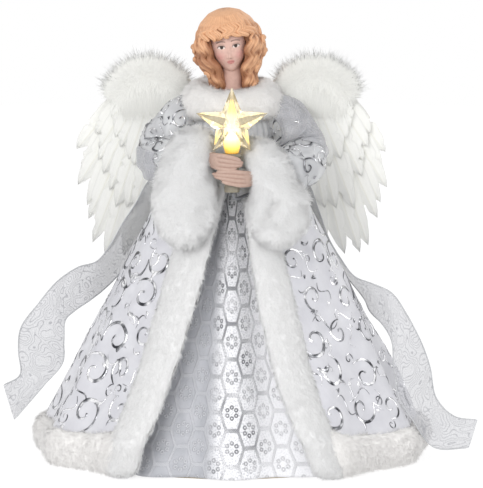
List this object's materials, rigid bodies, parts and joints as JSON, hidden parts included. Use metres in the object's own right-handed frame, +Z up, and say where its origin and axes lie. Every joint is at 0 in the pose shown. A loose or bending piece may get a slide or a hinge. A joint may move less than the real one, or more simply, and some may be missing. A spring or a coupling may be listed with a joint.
{
  "type": "angel tree topper",
  "caption": "Lighted angel tree topper: robed figure with fur trim and feather wings on a hollow cone, holding a clear star lamp.",
  "frame": {"origin": "centre of the cone's open mouth, at the level of its rim", "axes": "+Z up along the cone, -Y the side the face looks to, +X to the viewer's right when the face is seen"},
  "size_m": [0.3212, 0.2533, 0.3049],
  "materials": {
    "card": "plain grey-brown board",
    "foam": "white foam",
    "satin": "white satin with silver foil scrolls",
    "brocade": "white and silver brocade",
    "fur": "white plush fur",
    "skin": "painted resin, satin",
    "hair": "painted resin, matt",
    "steel": "plain wire and spring steel",
    "socket": "ivory plastic",
    "bulb": "warm frosted flame bulb",
    "star": "clear faceted acrylic",
    "lead": "white insulation",
    "organza": "sheer white ribbon with woven scrolls",
    "bracket": "white plastic",
    "feather": "white goose feather",
    "marabou": "white marabou down",
    "case": "white plastic",
    "cell": "plain dark jacket",
    "knob": "black plastic"
  },
  "bodies": {
    "figure": {"base_cone": "card", "torso_form": "foam", "bodice": "satin", "inner_skirt": "brocade", "robe_back": "satin", "robe_left_front": "satin", "robe_right_front": "satin", "left_front_fur": "fur", "right_front_fur": "fur", "hem_fur": "fur", "fur_collar": "fur", "head_bust": "skin", "hair": "hair", "arm_wire": "steel", "left_sleeve": "satin", "right_sleeve": "satin", "left_cuff_fur": "fur", "right_cuff_fur": "fur", "left_hand": "skin", "right_hand": "skin", "lamp_socket": "socket", "bulb": "bulb", "lamp_lead": "lead", "left_ribbon": "organza", "right_ribbon": "organza", "wing_bracket": "bracket", "battery_case": "case", "cell_a": "cell", "cell_b": "cell", "contact_spring_a": "steel", "contact_spring_b": "steel", "contact_plate_a": "steel", "contact_plate_b": "steel", "contact_bridge": "steel", "case_pad": "foam"},
    "left_wing": {"left_wing_wire": "steel", "left_wing_card": "card", "left_wing_primaries": "feather", "left_wing_secondaries": "feather", "left_wing_coverts": "feather", "left_wing_marabou": "marabou"},
    "right_wing": {"right_wing_wire": "steel", "right_wing_card": "card", "right_wing_primaries": "feather", "right_wing_secondaries": "feather", "right_wing_coverts": "feather", "right_wing_marabou": "marabou"},
    "star_cap": {"star": "star"},
    "switch": {"switch_knob": "knob"},
    "door": {"battery_door": "case"}
  },
  "joints": [
    {"name": "left_wing_fold", "type": "hinge", "parent": "figure", "child": "left_wing", "pos_m": [-0.009, 0.037, 0.228], "axis": [0, 0.304, -0.9527], "range_deg": [0, 40]},
    {"name": "right_wing_fold", "type": "hinge", "parent": "figure", "child": "right_wing", "pos_m": [0.009, 0.037, 0.228], "axis": [0, -0.304, 0.9527], "range_deg": [0, 40]},
    {"name": "star_lift", "type": "slide", "parent": "figure", "child": "star_cap", "axis": [0, 0, 1], "range_m": [0, 0.045]},
    {"name": "switch_slide", "type": "slide", "parent": "figure", "child": "switch", "axis": [1, 0, 0], "range_m": [0, 0.004]},
    {"name": "door_slide", "type": "slide", "parent": "figure", "child": "door", "axis": [0, 0.3867, -0.9222], "range_m": [0, 0.03]}
  ]
}
